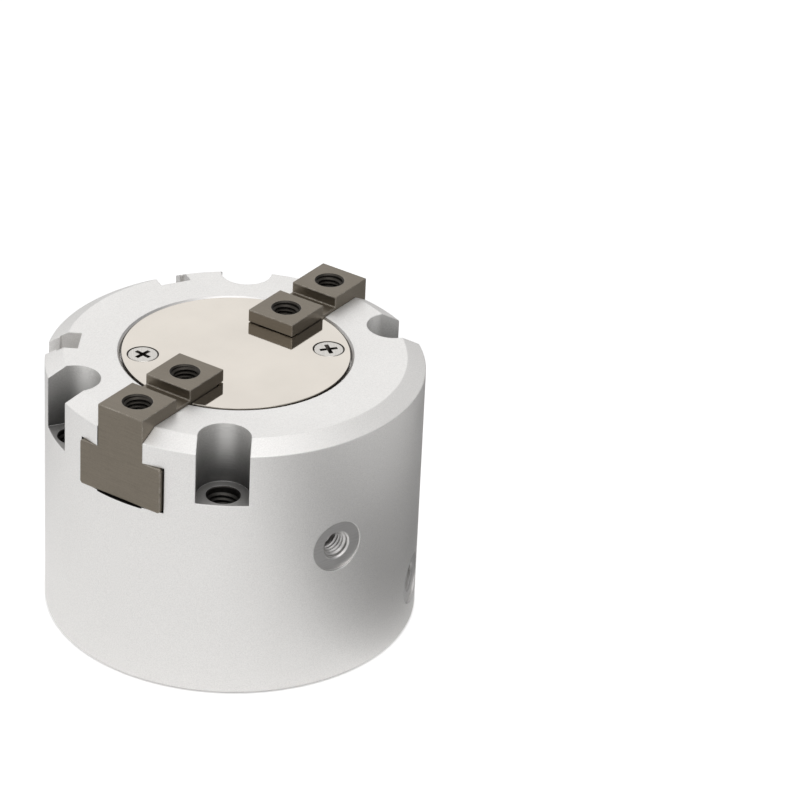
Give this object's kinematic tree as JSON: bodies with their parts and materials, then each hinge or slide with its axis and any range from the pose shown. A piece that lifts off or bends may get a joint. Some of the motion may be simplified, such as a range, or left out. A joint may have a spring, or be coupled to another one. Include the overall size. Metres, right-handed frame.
{
  "type": "two-jaw centric gripper",
  "caption": "Round-body pneumatic gripper: a piston and wedge cam drive opposed T-section jaws together, in and out along one line across the top face.",
  "frame": {"origin": "middle of the base face, on the body axis", "axes": "+Z along the body axis towards the jaws; jaws travel along X; air ports on the -Y side, switch grooves on the +Y side"},
  "size_m": [0.07, 0.07, 0.0546],
  "materials": {
    "body_aluminium": "fine bead-blasted, clear anodised, satin",
    "cap_aluminium": "turned, clear anodised",
    "jaw_steel": "ground, hardened, dark brown-grey surface treatment",
    "polished_steel": "polished stainless sheet",
    "screw_steel": "bright plated",
    "bright_steel": "ground, bright",
    "spring_steel": "phosphated spring steel",
    "black_steel": "black oxide",
    "cam_steel": "hardened and ground",
    "bush_bronze": "sintered bronze, matt",
    "seal_rubber": "moulded nitrile, matt black",
    "bumper_rubber": "moulded urethane, matt",
    "wear_ring_resin": "filled resin, matt",
    "magnet_compound": "plastic-bonded magnet, matt"
  },
  "bodies": {
    "housing": {"body": "body_aluminium", "end_plate": "polished_steel", "end_plate_screws": "screw_steel", "rod_bush": "bush_bronze", "seal_retainer": "bright_steel", "rod_seal": "seal_rubber", "cap": "cap_aluminium", "cap_o_ring": "seal_rubber", "retaining_ring": "spring_steel"},
    "piston_group": {"piston": "cap_aluminium", "piston_rod": "bright_steel", "rod_nut": "bright_steel", "rod_gasket": "seal_rubber", "piston_seal": "seal_rubber", "wear_ring": "wear_ring_resin", "magnet": "magnet_compound", "upper_bumper": "bumper_rubber", "lower_bumper": "bumper_rubber", "cam": "cam_steel", "cam_bolt": "black_steel", "cam_washer": "spring_steel"},
    "left_jaw": {"jaw_left": "jaw_steel"},
    "right_jaw": {"jaw_right": "jaw_steel"}
  },
  "joints": [
    {"name": "piston_slide", "type": "slide", "parent": "housing", "child": "piston_group", "axis": [0, 0, 1], "range_m": [0, 0.008]},
    {"name": "left_jaw_slide", "type": "slide", "parent": "housing", "child": "left_jaw", "axis": [-1, 0, 0], "range_m": [0, 0.006]},
    {"name": "right_jaw_slide", "type": "slide", "parent": "housing", "child": "right_jaw", "axis": [1, 0, 0], "range_m": [0, 0.006]}
  ],
  "couplings": [
    {"joint": "left_jaw_slide", "follows": "piston_slide", "ratio": 0.75},
    {"joint": "right_jaw_slide", "follows": "piston_slide", "ratio": 0.75}
  ]
}
